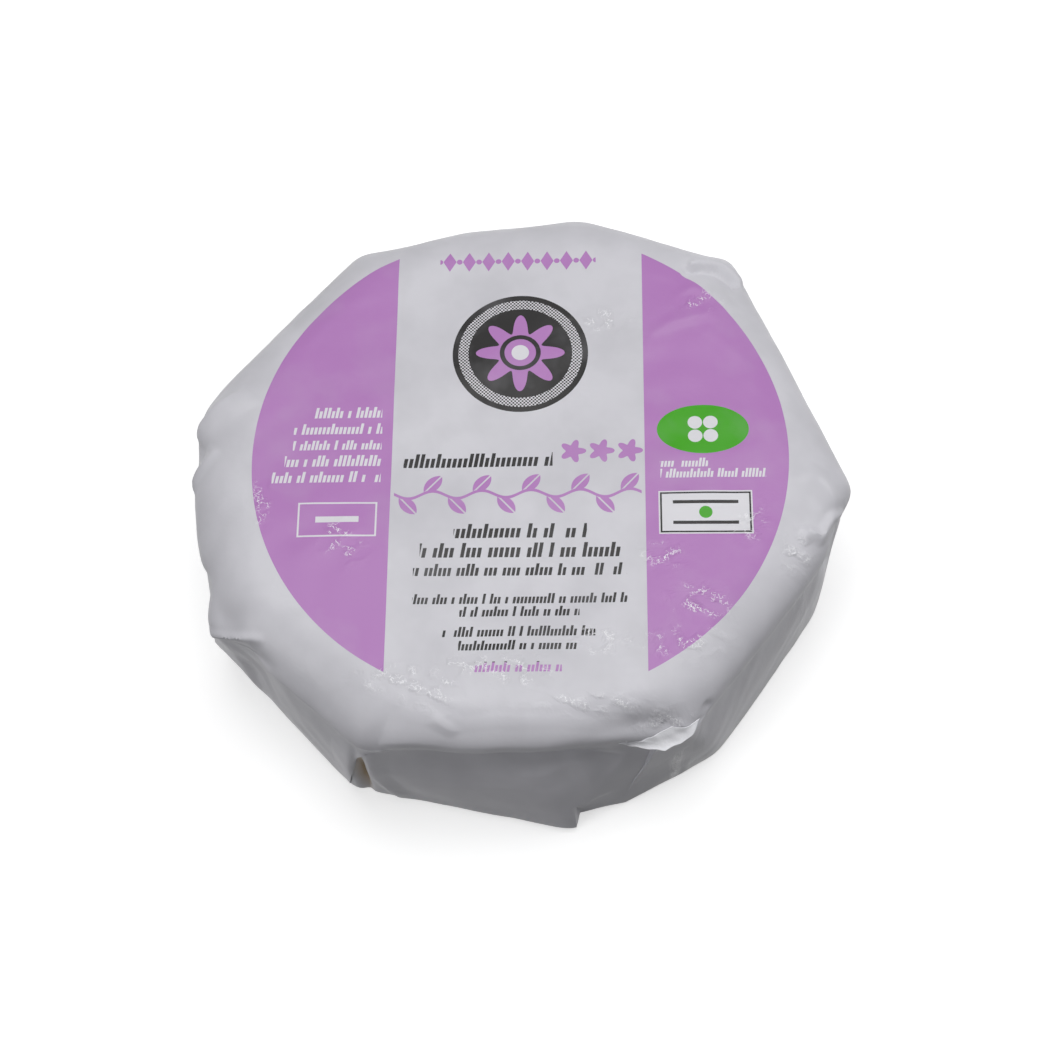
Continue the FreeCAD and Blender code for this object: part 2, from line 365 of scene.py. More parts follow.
@dataclass
class WrapForm:
    """The shape of the paper over the cheese, as one function of bearing and way down the paper.

    From the flat top it rounds over the shoulder on an elliptical arc, falls down the wall, turns in
    at the foot and runs under the cheese in folds. In plan it is pulled flat from pleat to pleat,
    and lies on the round wheel between them.
    """

    height: float = 30.0
    wheel_radius: float = 49.6
    shoulder_reach: float = 8.5
    shoulder_drop: float = 6.5
    foot_radius: float = 1.6
    wall_bulge: float = 0.5
    lip_depth: float = 0.8
    lip_height: float = 3.0
    pleat_softness: float = 0.55
    shoulder_pleat_share: float = 0.55
    fold_step: float = 0.8
    fold_swirl: float = 34.0
    fold_start: float = 9.0
    shoulder_run: float = 11.8
    wall_run: float = 21.9
    foot_run: float = 2.5
    axis: tuple[float, float] = (-0.758, 1.462)
    pleats: tuple[Pleat, ...] = PLEATS
    hollows: tuple[Hollow, ...] = HOLLOWS
    creases: tuple[Crease, ...] = CREASES
    least_towards: float = 0.3
    top_swells: tuple[Swell, Swell] = (Swell(0.16, 30.0, 7, SEED), Swell(0.035, 8.0, 12, SEED + 1))
    side_swells: tuple[Swell, Swell] = (Swell(0.08, 17.0, 7, SEED + 2), Swell(0.04, 6.0, 10, SEED + 3))
    side_shear: float = 0.2
    slack_fade: float = 6.0

    @property
    def rest_run(self) -> float:
        """How far down the paper it reaches the surface that the cheese rests on."""
        return self.shoulder_run + self.wall_run + self.foot_run

    def outline(self, bearing: Array, level: Array) -> Array:
        """How far the paper stands from the axis: out to the flat panels, never inside the wheel.

        A panel runs between two neighbouring pleats' edges, which lean, so it depends on the level.
        The nearest panel counts, and both joins are rounded.

        Args:
            bearing: each place's bearing.
            level: 0 at the shoulder's lower edge and 1 at the foot.
        Returns:
            The reach in millimetres.
        """
        table = np.array([(p.shoulder_bearing, p.shoulder_stand, p.foot_bearing, p.foot_stand)
                          for p in self.pleats])[:, :, None]
        edge_bearing = np.radians(table[:, 0] + (table[:, 2] - table[:, 0]) * level)
        edge_reach = self.wheel_radius + table[:, 1] + (table[:, 3] - table[:, 1]) * level
        x, y = edge_reach * np.cos(edge_bearing), edge_reach * np.sin(edge_bearing)
        next_x, next_y = np.roll(x, -1, axis=0), np.roll(y, -1, axis=0)
        facing = np.arctan2(next_x - x, y - next_y)
        distance = (next_x * y - x * next_y) / np.hypot(next_x - x, next_y - y)
        towards = np.cos(np.radians(bearing) - facing)
        ahead = np.maximum(towards, self.least_towards)
        reaches = np.where(towards > self.least_towards, distance / ahead, np.inf)
        panels = soft_least(reaches, self.pleat_softness)
        wheel = np.full_like(panels, -self.wheel_radius)
        return -soft_least(np.stack([-panels, wheel]), self.pleat_softness)

    def flat_edge(self, bearing: Array) -> Array:
        """How far the flat top reaches from the axis."""
        stand = self.outline(bearing, np.zeros_like(bearing)) - self.wheel_radius
        return self.wheel_radius + self.shoulder_pleat_share * stand - self.shoulder_reach

    def fold_height(self, bearing: Array, inward: Array) -> Array:
        """How high the folds under the cheese lie over the surface it rests on.

        From one pleat's foot to the next the paper rises evenly to one fold's step, then drops: each
        fold lies on its neighbour. The drops sweep round on the way to the middle.
        """
        feet = np.sort([p.foot_bearing % 360.0 for p in self.pleats])
        feet = np.concatenate([[feet[-1] - 360.0], feet, [feet[0] + 360.0]])
        swept = (bearing + self.fold_swirl * inward / self.wheel_radius) % 360.0
        which = np.searchsorted(feet, swept, side="right") - 1
        share = (swept - feet[which]) / (feet[which + 1] - feet[which])
        return self.fold_step * smooth_step(inward, 0.0, self.fold_start) * share

    def plain(self, bearing: Array, down: Array) -> tuple[Array, Array]:
        """The paper before its creases: its reach from the axis and its height, for each place."""
        below = down - self.shoulder_run
        level = np.clip(below / self.wall_run, 0.0, 1.0)
        turn = np.radians(90.0 * np.clip(down / self.shoulder_run, 0.0, 1.0))
        foot = np.radians(90.0 * np.clip((below - self.wall_run) / self.foot_run, 0.0, 1.0))
        wall = self.outline(bearing, level)
        edge = self.flat_edge(bearing)
        wall_top = self.height - self.shoulder_drop
        fall = (wall_top - self.foot_radius) * level
        swell = self.wall_bulge * np.sin(np.pi * level)
        lip = self.lip_depth * fall / self.lip_height * np.exp(1.0 - fall / self.lip_height)
        inward = np.maximum(down - self.rest_run, 0.0)
        reach = edge + (wall - edge) * np.sin(turn) + np.minimum(down, 0.0)
        reach += swell - lip * (level > 0.0) - self.foot_radius * (1.0 - np.cos(foot)) - inward
        height = self.height - self.shoulder_drop * (1.0 - np.cos(turn)) - fall
        height -= self.foot_radius * np.sin(foot)
        return reach, np.maximum(height, 0.0) + self.fold_height(bearing, inward)

    def points(self, bearing: Array, down: Array, lift: Array | float = 0.0) -> Array:
        """Where each place of the paper is, creases and all.

        The plain paper is moved along its own outward direction by the hollows and creases.

        Args:
            bearing: each place's bearing.
            down: how far down the paper it lies.
            lift: how far it stands off the paper's surface.
        Returns:
            Points in millimetres in the row frame, one row each.
        """
        reach, height = self.plain(bearing, down)
        angle = np.radians(bearing)
        turn = np.radians(90.0 * np.clip(down / self.shoulder_run, 0.0, 1.0))
        out, up = np.sin(turn) / self.shoulder_reach, np.cos(turn) / self.shoulder_drop
        whole = np.hypot(out, up)
        out, up = out / whole, up / whole
        under = smooth_step(down, self.rest_run, self.rest_run + self.fold_start)
        out = out * (1.0 - under)
        move = np.zeros_like(reach) + lift
        raised = np.zeros_like(reach)
        for hollow in self.hollows:
            move = move - hollow.sink(bearing, down, self.wheel_radius)
        for crease in self.creases:
            rise = crease.rise(bearing, down, self.wheel_radius)
            if crease.upward:
                raised = raised + rise
            else:
                move = move + rise
        x0, y0 = reach * np.cos(angle), reach * np.sin(angle)
        calm = 1.0 - under
        move = move + calm * self.slack(x0, y0, bearing, down)
        x = x0 + move * out * np.cos(angle)
        y = y0 + move * out * np.sin(angle)
        z = height + move * up + raised
        return np.stack([x + self.axis[0], y + self.axis[1], np.maximum(z, 0.0)], axis=1)

    def slack(self, x: Array, y: Array, bearing: Array, down: Array) -> Array:
        """How the paper swells gently between the places where it clings to the cheese."""
        flat = 1.0 - smooth_step(down, -self.slack_fade, self.slack_fade)
        closed = np.cos(np.radians(bearing)) * self.wheel_radius
        broad, small = self.top_swells
        top = broad.lift(x, y) + small.lift(x, y)
        broad, small = self.side_swells
        side = broad.lift(closed, down + self.side_shear * y) + small.lift(x, y + down)
        return flat * top + (1.0 - flat) * side


# ---------------------------------------------------------------- the printed label

class Ink(Enum):
    """The label's colours, as printed."""

    LILAC = "#b17bba"
    BLACK = "#0d0a0b"
    GREEN = "#3a9e00"
    PALE = "#dbdadf"


@dataclass(frozen=True)
class Row:
    """One row of short upright strokes: its middle, baseline, width and height."""

    x: float
    y: float
    width: float
    height: float


@dataclass(frozen=True)
class Mark:
    """A mark's middle on the label, and its half width and half height."""

    centre: tuple[float, float]
    half: tuple[float, float]

    def inset(self, margin: float) -> "Mark":
        """The same mark, smaller by a margin all round."""
        return Mark(self.centre, (self.half[0] - margin, self.half[1] - margin))


@dataclass(frozen=True)
class LabelPrint:
    """The print on the paper, worked out from plain shapes about the label's middle.

    Two lilac segments of a circle flank a bare band. The band has a dark medallion with a blossom,
    a leafy garland and rows of short strokes, and the segments have a green oval and pale marks. A
    stroke's sizes are shares of its row's height.
    """

    centre: tuple[float, float] = (0.042, 2.662)
    lowest: float = 20.0
    radius: float = 45.0
    band_middle: float = -0.2
    band_half: float = 21.2
    medal: Mark = Mark((0.0, 19.6), (11.6, 11.6))
    halo: float = 0.84
    halo_half: float = 0.075
    bloom: Mark = Mark((0.0, 19.6), (7.6, 7.6))
    bloom_eye: Mark = Mark((0.0, 19.6), (3.1, 3.1))
    bloom_heart: Mark = Mark((0.0, 19.6), (1.5, 1.5))
    garland_middle: tuple[float, float] = (-0.2, -7.6)
    garland_half: float = 20.6
    border: Mark = Mark((-0.6, 38.4), (13.6, 1.95))
    flower: Mark = Mark((0.0, 0.4), (2.25, 2.25))
    flower_pitch: float = 4.75
    flowers_start: float = 6.6
    flowers_middle: float = 13.72
    flowers_half: float = 7.1
    green_oval: Mark = Mark((30.8, 4.3), (7.7, 4.7))
    clover_disc: Mark = Mark((1.3, 1.3), (1.22, 1.22))
    seal: Mark = Mark((30.9, -11.4), (7.75, 4.0))
    seal_margin: float = 0.25
    seal_bars: tuple[Mark, ...] = (Mark((30.9, -9.5), (5.4, 0.3)), Mark((30.9, -13.3), (5.4, 0.3)))
    seal_dot: Mark = Mark((30.9, -11.4), (1.1, 1.1))
    pale_box: Mark = Mark((-30.1, -12.1), (6.6, 3.2))
    pale_bar: Mark = Mark((-30.1, -12.1), (3.6, 0.55))
    line: float = 0.3
    row_foot: float = 0.25
    row_head: float = 1.55
    stroke_lean: float = 0.16
    stroke_pitch: float = 0.52
    stroke_half: float = 0.34
    left_out: float = 0.17
    tall_from: float = 0.74
    tall_extra: float = 0.5
    lilac_below: float = -38.2
    left_rows: tuple[Row, ...] = (
        Row(-29.3, 7.3, 12.0, 1.35), Row(-30.7, 4.2, 15.0, 1.35), Row(-30.7, 1.1, 15.0, 1.25),
        Row(-31.3, -2.0, 16.3, 1.4), Row(-32.3, -5.1, 18.3, 1.4))
    band_rows: tuple[Row, ...] = (
        Row(-6.9, -2.4, 25.0, 1.75), Row(0.3, -15.8, 22.0, 1.75), Row(0.3, -19.3, 33.0, 1.75),
        Row(0.3, -22.6, 35.0, 1.45), Row(0.3, -27.6, 35.0, 1.2), Row(0.3, -29.9, 19.5, 1.2),
        Row(0.2, -33.5, 24.8, 1.2), Row(0.2, -36.0, 19.4, 1.2), Row(0.2, -39.9, 14.0, 1.25))
    right_rows: tuple[Row, ...] = (Row(27.5, -2.9, 8.0, 1.1), Row(32.3, -4.9, 17.5, 1.1))


@dataclass
class Press:
    """Prints a label: builds its shapes and colours in one material's node tree.

    Each shape is a socket that is 1 inside the shape and 0 outside it.
    """

    tree: bpy.types.NodeTree
    label: LabelPrint
    add: Callable[..., bpy.types.Node] = field(init=False)
    place: bpy.types.Node = field(init=False)
    across: bpy.types.NodeSocket = field(init=False)
    upward: bpy.types.NodeSocket = field(init=False)

    def __post_init__(self) -> None:
        """Sets up the place on the label, in millimetres from its middle."""
        self.add = partial(add_node, self.tree)
        own = self.add("ShaderNodeTexCoord")
        x, y = self.label.centre
        self.place = self.add("ShaderNodeMapping", {
            0: own.outputs["Object"], "Location": (-x, -y, 0.0), "Scale": (1 / MM, 1 / MM, 0.0)})
        self.across, self.upward = self.add("ShaderNodeSeparateXYZ", (self.place,)).outputs[:2]

    def scaled(self, mark: Mark, place=None) -> bpy.types.Node:
        """The place measured from a mark's middle, in halves of its width and height."""
        (x, y), (wide, tall) = mark.centre, mark.half
        return self.add(VECTOR, (place or self.place, (1 / wide, 1 / tall, 0.0), (-x / wide, -y / tall, 0.0)),
                        operation="MULTIPLY_ADD")

    def length(self, place) -> bpy.types.NodeSocket:
        """How far a place lies from its own zero."""
        return self.add(VECTOR, (place,), operation="LENGTH").outputs["Value"]

    def oval(self, mark: Mark, place=None) -> bpy.types.Node:
        """A filled oval."""
        return self.add(MATH, (self.length(self.scaled(mark, place)), 1.0), operation="LESS_THAN")

    def ring(self, mark: Mark, middle: float, half_width: float) -> bpy.types.Node:
        """An oval line: its middle and half width are shares of the mark's half size."""
        return self.add(MATH, (self.length(self.scaled(mark)), middle, half_width), operation="COMPARE")

    def box(self, mark: Mark) -> bpy.types.Node:
        """A filled rectangle."""
        there = self.add(VECTOR, (self.scaled(mark),), operation="ABSOLUTE")
        sides = self.add("ShaderNodeSeparateXYZ", (there,)).outputs
        longer = self.add(MATH, (sides[0], sides[1]), operation="MAXIMUM")
        return self.add(MATH, (longer, 1.0), operation="LESS_THAN")

    def frame(self, mark: Mark) -> bpy.types.Node:
        """A rectangle's outline, drawn inside its edge."""
        return self.without(self.box(mark), self.box(mark.inset(self.label.line)))

    def both(self, *shapes) -> bpy.types.Node:
        """Where every one of several shapes is."""
        made = shapes[0]
        for shape in shapes[1:]:
            made = self.add(MATH, (made, shape), operation="MULTIPLY")
        return made

    def either(self, *shapes) -> bpy.types.Node:
        """Where any of several shapes is."""
        made = shapes[0]
        for shape in shapes[1:]:
            made = self.add(MATH, (made, shape), operation="MAXIMUM")
        return made

    def without(self, shape, cut) -> bpy.types.Node:
        """A shape less another."""
        rest = self.add(MATH, (shape, cut), operation="SUBTRACT")
        return self.add(MATH, (rest, 0.5), operation="GREATER_THAN")

    def blossom(self, mark: Mark, petals: int, place=None) -> bpy.types.Node:
        """A flower of rounded petals: a polar curve whose radius swells with the cosine of the angle."""
        petal = 0.24
        there = self.scaled(mark, place)
        sides = self.add("ShaderNodeSeparateXYZ", (there,)).outputs
        angle = self.add(MATH, (sides[1], sides[0]), operation="ARCTAN2")
        turned = self.add(MATH, (angle, float(petals)), operation="MULTIPLY")
        wave = self.add(MATH, (turned,), operation="COSINE")
        edge = self.add(MATH, (wave, petal, 1.0 - petal), operation="MULTIPLY_ADD")
        return self.add(MATH, (self.length(there), edge), operation="LESS_THAN")

    def repeated(self, pitch: float, start: float) -> tuple[bpy.types.Node, bpy.types.Node]:
        """A place that repeats along the label, and the number of its cell."""
        cells = self.add(MATH, (self.across, 1 / pitch, -start / pitch), operation="MULTIPLY_ADD")
        number = self.add(MATH, (cells,), operation="FLOOR")
        share = self.add(MATH, (cells,), operation="FRACT")
        within = self.add(MATH, (share, pitch, -pitch / 2), operation="MULTIPLY_ADD")
        return self.add("ShaderNodeCombineXYZ", (within, self.upward)), number

    def rows(self) -> bpy.types.Node:
        """Every row of strokes.

        A stepped ramp over the height gives each column's row: its middle, width, baseline and
        height. Strokes stand at an even pitch. A hash of a stroke's number leaves some out, which
        parts the row, and makes some taller.
        """
        label = self.label
        # The ramps hold lengths as shares of a span that starts at low, and heights of the tallest.
        span, low, tallest = 100.0, -50.0, 4.0
        step = self.add(MATH, (self.upward, 1 / span, -low / span), operation="MULTIPLY_ADD")
        columns = []
        for rows in (label.left_rows, label.band_rows, label.right_rows):
            ramp = self.add("ShaderNodeValToRGB", (step,))
            ramp.color_ramp.interpolation = "CONSTANT"
            stops = ramp.color_ramp.elements
            stops[0].position, stops[0].color = 0.0, (0.0, 0.0, 0.0, 0.0)
            stops.remove(stops[1])
            for row in rows:
                foot, head = row.y - label.row_foot * row.height, row.y + label.row_head * row.height
                stops.new((foot - low) / span).color = (
                    (row.x - low) / span, row.width / span, (row.y - low) / span, row.height / tallest)
                stops.new((head - low) / span).color = (0.0, 0.0, 0.0, 0.0)
            columns.append(ramp.outputs)
        side = self.add(MATH, (self.across, label.band_middle - label.band_half), operation="LESS_THAN")
        other = self.add(MATH, (self.across, label.band_middle + label.band_half), operation="GREATER_THAN")
        found, tall = columns[1]
        for where, (row, high) in ((side, columns[0]), (other, columns[2])):
            found = self.add(MIX, {0: where, 6: found, 7: row}, data_type="RGBA").outputs[2]
            tall = self.add(MIX, {0: where, 2: tall, 3: high}, data_type="FLOAT").outputs[0]
        middle, width, base = self.add("ShaderNodeSeparateColor", (found,)).outputs
        x, y = (self.add(MATH, (start, -span, self.add(MATH, (here, low), operation="SUBTRACT")),
                         operation="MULTIPLY_ADD")
                for start, here in ((middle, self.across), (base, self.upward)))
        height = self.add(MATH, (tall, tallest), operation="MULTIPLY")
        leaned = self.add(MATH, (y, -label.stroke_lean, x), operation="MULTIPLY_ADD")
        pitch = self.add(MATH, (height, label.stroke_pitch), operation="MULTIPLY")
        count = self.add(MATH, (leaned, pitch), operation="DIVIDE")
        cell = self.add("ShaderNodeCombineXYZ", (self.add(MATH, (count,), operation="FLOOR"), base))
        drawn = self.add("ShaderNodeTexWhiteNoise", (cell,), noise_dimensions="3D").outputs[0]
        share = self.add(MATH, (count,), operation="FRACT")
        stroke = self.add(MATH, (share, 0.5, label.stroke_half), operation="COMPARE")
        kept = self.add(MATH, (drawn, label.left_out), operation="GREATER_THAN")
        long_one = self.add(MATH, (drawn, label.tall_from), operation="GREATER_THAN")
        taller = self.add(MATH, (long_one, label.tall_extra, 1.0), operation="MULTIPLY_ADD")
        top = self.add(MATH, (height, taller), operation="MULTIPLY")
        below_top = self.add(MATH, (y, top), operation="LESS_THAN")
        above_base = self.add(MATH, (y, 0.0), operation="GREATER_THAN")
        half_row = self.add(MATH, (width, span / 2), operation="MULTIPLY")
        inside = self.add(MATH, (self.add(MATH, (x,), operation="ABSOLUTE"), half_row),
                          operation="LESS_THAN")
        return self.both(stroke, kept, below_top, above_base, inside)

    def garland(self) -> bpy.types.Node:
        """A wavy stem with leaves on alternate sides, across the band.

        A leaf is where two equal discs overlap, drawn by the distance from a point moved aside.
        """
        pitch, sway, stem_half, vein_half = 4.1, 0.7, 0.28, 0.13
        leaf_height, leaf_disc, leaf_aside, lean = 2.0, 2.62, 1.45, math.radians(48.0)
        middle, height = self.label.garland_middle
        y = self.add(MATH, (self.upward, height), operation="SUBTRACT")
        turned = self.add(MATH, (self.across, math.pi / pitch), operation="MULTIPLY")
        wave = self.add(MATH, (self.add(MATH, (turned,), operation="SINE"), sway), operation="MULTIPLY")
        stem = self.add(MATH, (y, wave, stem_half), operation="COMPARE")
        place, number = self.repeated(pitch, 0.0)
        odd = self.add(MATH, (number, 2.0), operation="FLOORED_MODULO")
        side = self.add(MATH, (odd, -2.0, 1.0), operation="MULTIPLY_ADD")
        within = self.add("ShaderNodeSeparateXYZ", (place,)).outputs[0]
        up = self.add(MATH, (y, side, -leaf_height), operation="MULTIPLY_ADD")
        long_way, short_way = (
            self.add(MATH, (within, a, self.add(MATH, (up, b), operation="MULTIPLY")),
                     operation="MULTIPLY_ADD")
            for a, b in ((math.cos(lean), math.sin(lean)), (-math.sin(lean), math.cos(lean))))
        aside = self.add(MATH, (self.add(MATH, (short_way,), operation="ABSOLUTE"), leaf_aside),
                         operation="ADD")
        away = self.length(self.add("ShaderNodeCombineXYZ", (long_way, aside)))
        leaf = self.add(MATH, (away, leaf_disc), operation="LESS_THAN")
        vein = self.add(MATH, (short_way, 0.0, vein_half), operation="COMPARE")
        reach = self.add(MATH, (self.across, middle, self.label.garland_half), operation="COMPARE")
        return self.both(self.either(stem, self.without(leaf, vein)), reach)

    def border(self) -> bpy.types.Node:
        """A row of lozenges with small discs between them."""
        pitch, wide, disc_radius = 3.4, 1.15, 0.5
        (middle, height), (half_length, tall) = self.label.border.centre, self.label.border.half
        place, _ = self.repeated(pitch, middle - half_length)
        there = self.add(VECTOR, (self.scaled(Mark((0.0, height), (wide, tall)), place),),
                         operation="ABSOLUTE")
        sides = self.add("ShaderNodeSeparateXYZ", (there,)).outputs
        both_ways = self.add(MATH, (sides[0], sides[1]), operation="ADD")
        lozenge = self.add(MATH, (both_ways, 1.0), operation="LESS_THAN")
        aside = self.add(MATH, (sides[0], pitch / 2 / wide), operation="SUBTRACT")
        spot = self.add("ShaderNodeCombineXYZ", (
            self.add(MATH, (aside, wide / disc_radius), operation="MULTIPLY"),
            self.add(MATH, (sides[1], tall / disc_radius), operation="MULTIPLY")))
        disc = self.add(MATH, (self.length(spot), 1.0), operation="LESS_THAN")
        reach = self.add(MATH, (self.across, middle, half_length), operation="COMPARE")
        return self.both(self.either(lozenge, disc), reach)

    def screen(self) -> bpy.types.Node:
        """A printer's dot screen. Its dots are coarser than in real print, so that they show."""
        pitch = 0.62
        turned = [self.add(MATH, (way, 2 * math.pi / pitch), operation="MULTIPLY")
                  for way in (self.across, self.upward)]
        dots = self.both(*(self.add(MATH, (turn,), operation="SINE") for turn in turned))
        return self.add(MATH, (dots, 0.0), operation="GREATER_THAN")

    def inked(self, bare) -> bpy.types.NodeSocket:
        """The label's colour, printed over bare paper: each ink lies over those before it.

        Args:
            bare: the bare paper's colour.
        Returns:
            The printed colour.
        """
        label = self.label
        disc = self.oval(Mark((0.0, 0.0), (label.radius, label.radius)))
        band = self.add(MATH, (self.across, label.band_middle, label.band_half), operation="COMPARE")
        rows = self.rows()
        low_row = self.add(MATH, (self.upward, label.lilac_below), operation="LESS_THAN")
        flowers, _ = self.repeated(label.flower_pitch, label.flowers_start)
        trio = self.both(
            self.blossom(label.flower, 5, flowers),
            self.add(MATH, (self.across, label.flowers_middle, label.flowers_half), operation="COMPARE"))
        lilac_marks = self.either(self.both(rows, low_row), self.garland(), trio, self.border())
        halo = self.both(self.ring(label.medal, label.halo, label.halo_half), self.screen())
        bloom = self.without(self.blossom(label.bloom, 8), self.ring(label.bloom_eye, 1.0, 0.13))
        folded = self.add(VECTOR, (self.scaled(Mark(label.green_oval.centre, (1.0, 1.0))),),
                          operation="ABSOLUTE")
        colour = bare
        for where, ink in (
                (self.without(disc, band), Ink.LILAC),
                (self.both(rows, self.without(1.0, band)), Ink.PALE),
                (self.either(self.frame(label.pale_box), self.box(label.pale_bar)), Ink.PALE),
                (lilac_marks, Ink.LILAC),
                (self.both(rows, self.without(band, low_row)), Ink.BLACK),
                (self.oval(label.medal), Ink.BLACK),
                (halo, Ink.PALE),
                (bloom, Ink.LILAC),
                (self.oval(label.bloom_heart), Ink.PALE),
                (self.oval(label.green_oval), Ink.GREEN),
                (self.oval(label.clover_disc, folded), Ink.PALE),
                (self.box(label.seal), Ink.PALE),
                (self.either(self.frame(label.seal.inset(label.seal_margin)),
                             *(self.box(bar) for bar in label.seal_bars)), Ink.BLACK),
                (self.oval(label.seal_dot), Ink.GREEN)):
            colour = self.add(MIX, {0: where, 6: colour, 7: linear(ink.value)},
                              data_type="RGBA").outputs[2]
        return colour


# ---------------------------------------------------------------- finishes

@dataclass(frozen=True)
class CoatedPaper:
    """Cheese paper: thin bleached paper with a film on it, folded by hand.

    The film gives the eye a soft satin gloss. Where the paper clings to the moist rind it is a
    little greyer, and where it was crumpled it glints, both from its gloss and from white glints
    painted into its colour, which stand partly for creased film's real whitening. Printed places are
    as glossy as bare ones.
    """

    colour: str = "#d0cfd5"
    damp_colour: str = "#c6c5cb"
    # Painted shade of the open corner's crevice, in the tan of the rind seen through it.
    crevice_shade_and_rind: str = "#a8906c"
    roughness: float = 0.42
    crumpled_roughness: float = 0.16
    film: float = 0.1
    film_roughness: float = 0.16
    ior: float = 1.32
    damp_patch: float = 11.0
    fibre: float = 0.9
    crumple: float = 1.1
    haze: float = 0.1
    # Painted glints: white squiggles on crumpled places, partly the real whitening of creased film.
    glint_and_crease_white: str = "#f4f4f7"
    squiggle: float = 0.018
    cluster: float = 2.4
    glint_and_crease_whitening: float = 0.85
    damp_range: tuple[float, float] = (0.38, 0.68)
    haze_range: tuple[float, float] = (0.50, 0.75)
    cluster_range: tuple[float, float] = (0.18, 0.40)
    fibre_depth: float = 0.012
    crumple_depth: float = 0.32

    def material(self, name: str, label: LabelPrint | None) -> bpy.types.Material:
        """Builds the finish.

        Args:
            name: what the material is called.
            label: the print on it, or none for bare paper.
        Returns:
            The material.
        """
        made = bpy.data.materials.new(name)
        made.use_nodes = True
        tree = made.node_tree
        tree.nodes.clear()
        own = add_node(tree, "ShaderNodeTexCoord").outputs["Object"]
        patches = add_node(tree, NOISE, {
            "Vector": own, "Scale": 1 / (self.damp_patch * MM), "Detail": 3.0, "Roughness": 0.55})
        damp = add_node(tree, RANGE, (patches, *self.damp_range, 0.0, 1.0))
        bare = add_node(tree, MIX, {0: damp, 6: linear(self.colour), 7: linear(self.damp_colour)},
                        data_type="RGBA").outputs[2]
        colour = bare
        if label:
            # Only the paper's top is printed: the sides and the folds below stay bare.
            height = add_node(tree, "ShaderNodeSeparateXYZ", {0: own}).outputs[2]
            printed = add_node(tree, MATH, (height, label.lowest * MM), operation="GREATER_THAN")
            colour = add_node(tree, MIX, {0: printed, 6: bare, 7: Press(tree, label).inked(bare)},
                              data_type="RGBA").outputs[2]
        haze = add_node(tree, RANGE, (patches, *self.haze_range, 0.0, self.haze))
        colour = add_node(tree, MIX, {0: haze, 6: colour, 7: linear(self.colour)},
                          data_type="RGBA").outputs[2]
        # Painted shade in the open corner's crevice, tinted with the rind's tan.
        crevice_shade_and_rind_share = add_node(tree, "ShaderNodeAttribute", attribute_name="crevice_shade_and_rind").outputs["Fac"]
        colour = add_node(tree, MIX, {0: crevice_shade_and_rind_share, 6: colour, 7: linear(self.crevice_shade_and_rind)},
                          data_type="RGBA").outputs[2]
        crumpled = add_node(tree, "ShaderNodeAttribute", attribute_name="crumple").outputs["Fac"]
        fine = add_node(tree, NOISE, {
            "Vector": own, "Scale": 1 / (self.crumple * MM), "Detail": 4.0, "Roughness": 0.6})
        fibres = add_node(tree, NOISE, {
            "Vector": own, "Scale": 1 / (self.fibre * MM), "Detail": 2.0})
        flecks = add_node(tree, MATH, (fine, crumpled), operation="MULTIPLY")
        relief = add_node(tree, "ShaderNodeBump", {
            "Height": fibres, "Distance": self.fibre_depth * MM, "Strength": 1.0})
        relief = add_node(tree, "ShaderNodeBump", {
            "Height": flecks, "Distance": self.crumple_depth * MM, "Strength": 1.0, "Normal": relief})
        # Painted glints, partly the real whitening of creased film: the colour turns white along fine
        # squiggles, which are the level lines of a noise.
        lines = add_node(tree, MATH, (fine, 0.5, self.squiggle), operation="COMPARE")
        coarse = add_node(tree, NOISE, {
            "Vector": own, "Scale": 1 / (self.cluster * MM), "Detail": 2.0})
        near = add_node(tree, MATH, (coarse, crumpled), operation="MULTIPLY")
        near = add_node(tree, RANGE, (near, *self.cluster_range, 0.0, self.glint_and_crease_whitening))
        white = add_node(tree, MATH, (lines, near), operation="MULTIPLY")
        colour = add_node(tree, MIX, {0: white, 6: colour, 7: linear(self.glint_and_crease_white)},
                          data_type="RGBA").outputs[2]
        rough = add_node(tree, RANGE, (crumpled, 0.0, 1.0, self.roughness, self.crumpled_roughness))
        shader = add_node(tree, "ShaderNodeBsdfPrincipled", {
            "Base Color": colour, "Roughness": rough, "Normal": relief, "IOR": self.ior,
            "Coat Weight": self.film, "Coat Roughness": self.film_roughness})
        add_node(tree, "ShaderNodeOutputMaterial", {"Surface": shader})
        return made


# ---------------------------------------------------------------- sub-assemblies

@dataclass(frozen=True)
class Crumple:
    """A crumpled patch on the top: its middle from the label's, and its half width and height."""

    x: float
    y: float
    half_width: float
    half_height: float


# Mostly along the front shoulder, where the paper was handled, and in the right-hand segment.
CRUMPLES = (
    Crumple(29.5, -27.4, 5.0, 3.0), Crumple(26.2, -34.4, 7.0, 3.0), Crumple(0.5, -39.5, 6.0, 3.0),
    Crumple(-13.8, -42.8, 5.0, 3.0), Crumple(-30.0, -15.0, 3.0, 3.5),
    Crumple(13.3, -34.3, 6.0, 2.5), Crumple(24.5, -46.8, 5.5, 1.6), Crumple(45.6, -18.3, 2.4, 3.4),
    Crumple(-27.5, -17.5, 2.5, 3.0), Crumple(31.0, 29.5, 4.0, 2.2), Crumple(14.0, 26.0, 5.0, 2.5),
    Crumple(12.0, -45.0, 8.0, 1.6), Crumple(-18.5, -40.5, 7.0, 2.4), Crumple(-8.0, -38.5, 5.0, 2.0),
    Crumple(-43.0, -8.0, 2.0, 5.0), Crumple(24.0, -19.0, 4.0, 2.5), Crumple(38.0, -14.0, 3.0, 4.0),
)


